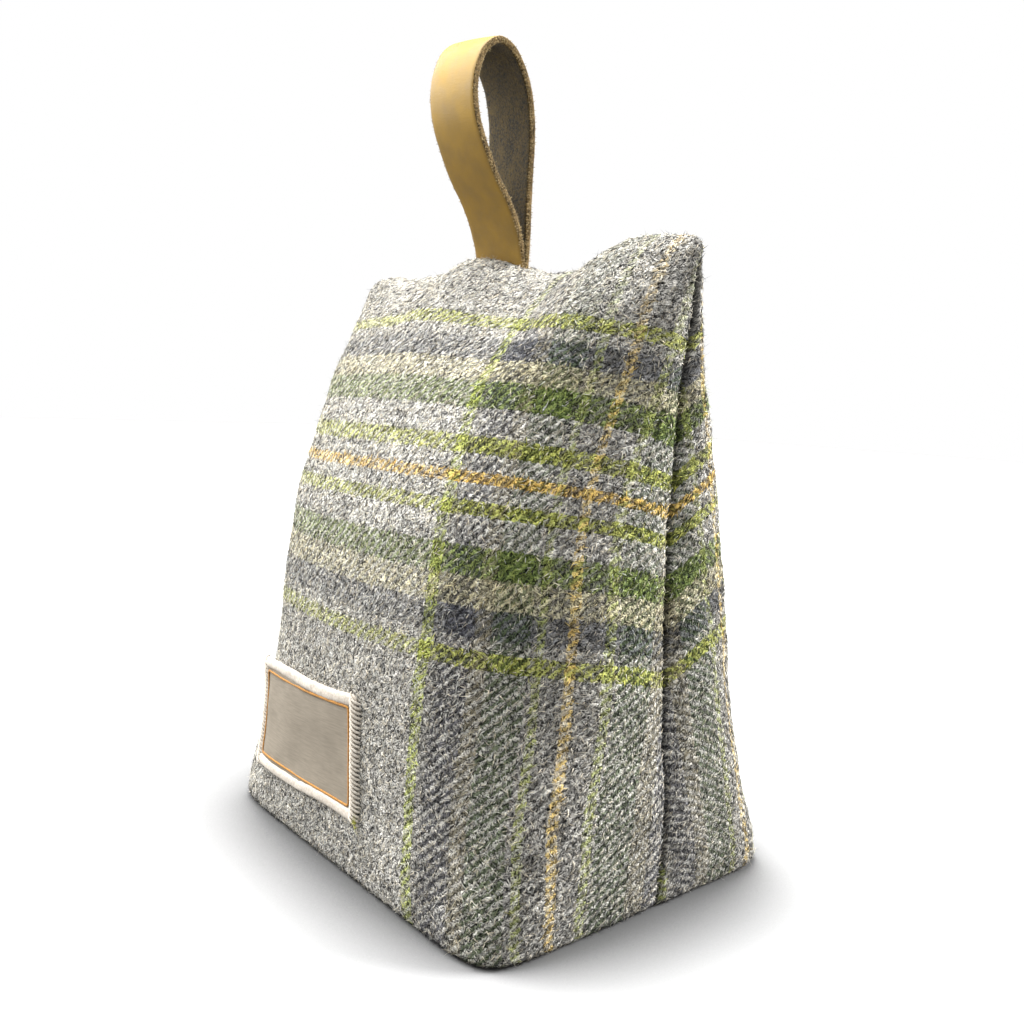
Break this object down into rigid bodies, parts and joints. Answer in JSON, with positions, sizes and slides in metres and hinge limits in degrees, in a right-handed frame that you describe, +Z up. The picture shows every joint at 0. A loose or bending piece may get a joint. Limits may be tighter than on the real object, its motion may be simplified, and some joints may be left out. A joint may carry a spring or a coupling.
{
  "type": "fabric doorstop",
  "caption": "Filled checked tweed doorstop, a wedge on a boxed base, with a leather loop handle on its ridge and a small blank label with overlocked edges.",
  "frame": {"origin": "centre of the bounding box at the floor, under the middle of the base", "axes": "+Z up, +X along the ridge towards the right-hand ear, -Y the way the labelled front panel faces"},
  "size_m": [0.1884, 0.1419, 0.295],
  "materials": {
    "tweed": "heathered wool twill with a traditional over-check",
    "leather": "smooth tan grain outside, raw suede inside",
    "label_cloth": "plain woven, blank",
    "edging_thread": "overlocked thread"
  },
  "bodies": {
    "root": {"tweed_body": "tweed", "handle_strap": "leather", "label_patch": "label_cloth", "label_edging": "edging_thread"}
  },
  "joints": []
}
